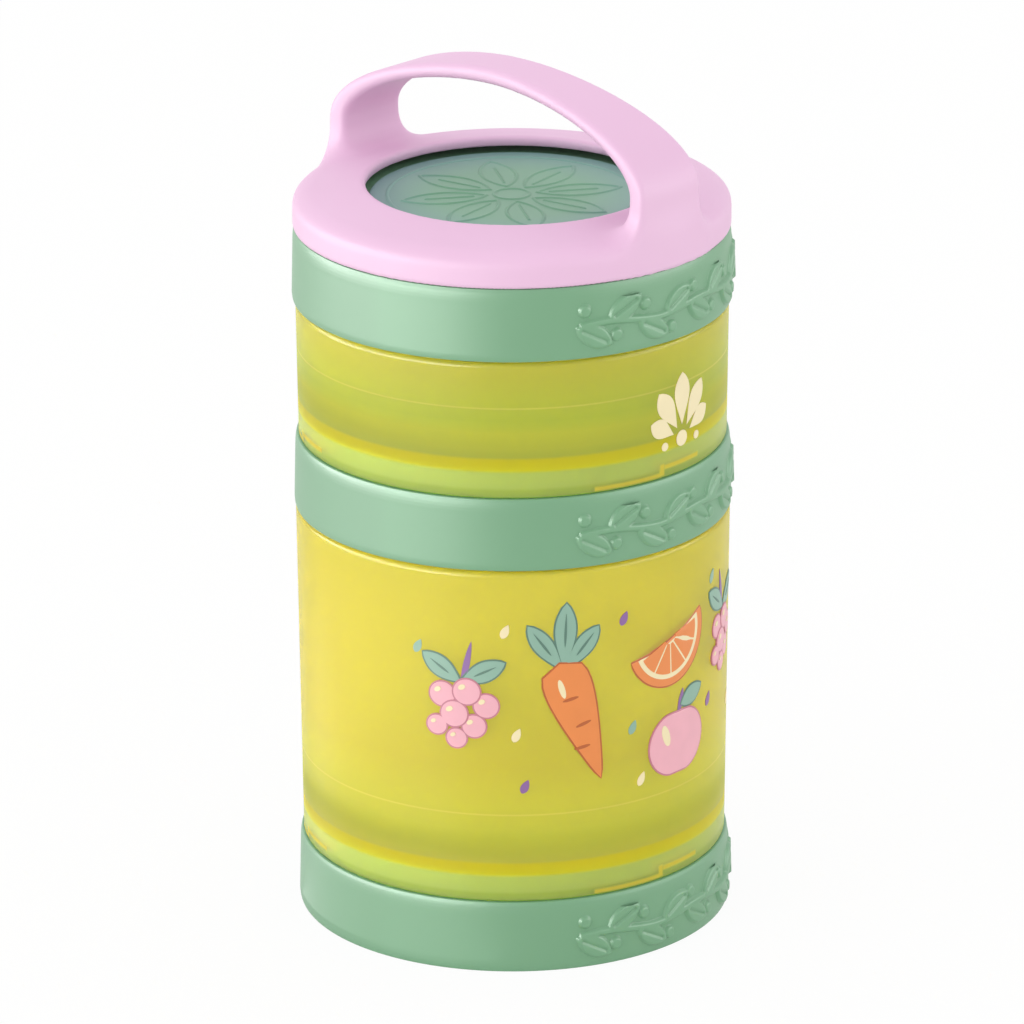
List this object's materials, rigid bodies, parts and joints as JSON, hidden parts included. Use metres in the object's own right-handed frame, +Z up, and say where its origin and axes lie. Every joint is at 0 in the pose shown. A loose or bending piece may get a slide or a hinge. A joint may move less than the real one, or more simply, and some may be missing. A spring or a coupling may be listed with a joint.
{
  "type": "toddler snack container",
  "caption": "Stacking snack container: a large and a small translucent cup on identical screw caps that lock to each other by a short twist, with a carry handle on the top cap.",
  "frame": {"origin": "centre of the base cap's lower edge, on the surface that the container stands on", "axes": "+Z up along the stack, +X along the span of the handle's arch, +Y across the arch"},
  "size_m": [0.08, 0.08, 0.1599],
  "materials": {
    "cap_plastic": "moulded sage green polypropylene, satin",
    "cup_plastic": "moulded yellow polypropylene, translucent, satin",
    "handle_plastic": "moulded pink polypropylene, satin",
    "seal_silicone": "soft white silicone ring"
  },
  "bodies": {
    "base": {"base_cap": "cap_plastic", "base_seal": "seal_silicone"},
    "large_cup": {"large_cup": "cup_plastic"},
    "middle_seal": {"middle_seal": "seal_silicone"},
    "middle_cap": {"middle_cap": "cap_plastic"},
    "small_cup": {"small_cup": "cup_plastic"},
    "top_seal": {"top_seal": "seal_silicone"},
    "top_cap": {"top_cap": "cap_plastic"},
    "handle": {"handle": "handle_plastic"}
  },
  "joints": [
    {"name": "large_cup_twist", "type": "hinge", "parent": "base", "child": "large_cup", "pos_m": [0, 0, 0.0134], "axis": [0, 0, 1], "range_deg": [0, 30]},
    {"name": "middle_cap_lift", "type": "slide", "parent": "large_cup", "child": "middle_seal", "axis": [0, 0, 1], "range_m": [0, 0.012]},
    {"name": "middle_cap_unscrew", "type": "hinge", "parent": "middle_seal", "child": "middle_cap", "pos_m": [0, 0, 0.0776], "axis": [0, 0, 1], "range_deg": [0, 360]},
    {"name": "small_cup_twist", "type": "hinge", "parent": "middle_cap", "child": "small_cup", "pos_m": [0, 0, 0.091], "axis": [0, 0, 1], "range_deg": [0, 30]},
    {"name": "top_cap_lift", "type": "slide", "parent": "small_cup", "child": "top_seal", "axis": [0, 0, 1], "range_m": [0, 0.012]},
    {"name": "top_cap_unscrew", "type": "hinge", "parent": "top_seal", "child": "top_cap", "pos_m": [0, 0, 0.1169], "axis": [0, 0, 1], "range_deg": [0, 360]},
    {"name": "handle_twist", "type": "hinge", "parent": "top_cap", "child": "handle", "pos_m": [0, 0, 0.1303], "axis": [0, 0, 1], "range_deg": [0, 30]}
  ],
  "couplings": [
    {"joint": "middle_cap_lift", "follows": "middle_cap_unscrew", "m_per_rad": 0.0019098},
    {"joint": "top_cap_lift", "follows": "top_cap_unscrew", "m_per_rad": 0.0019098}
  ]
}
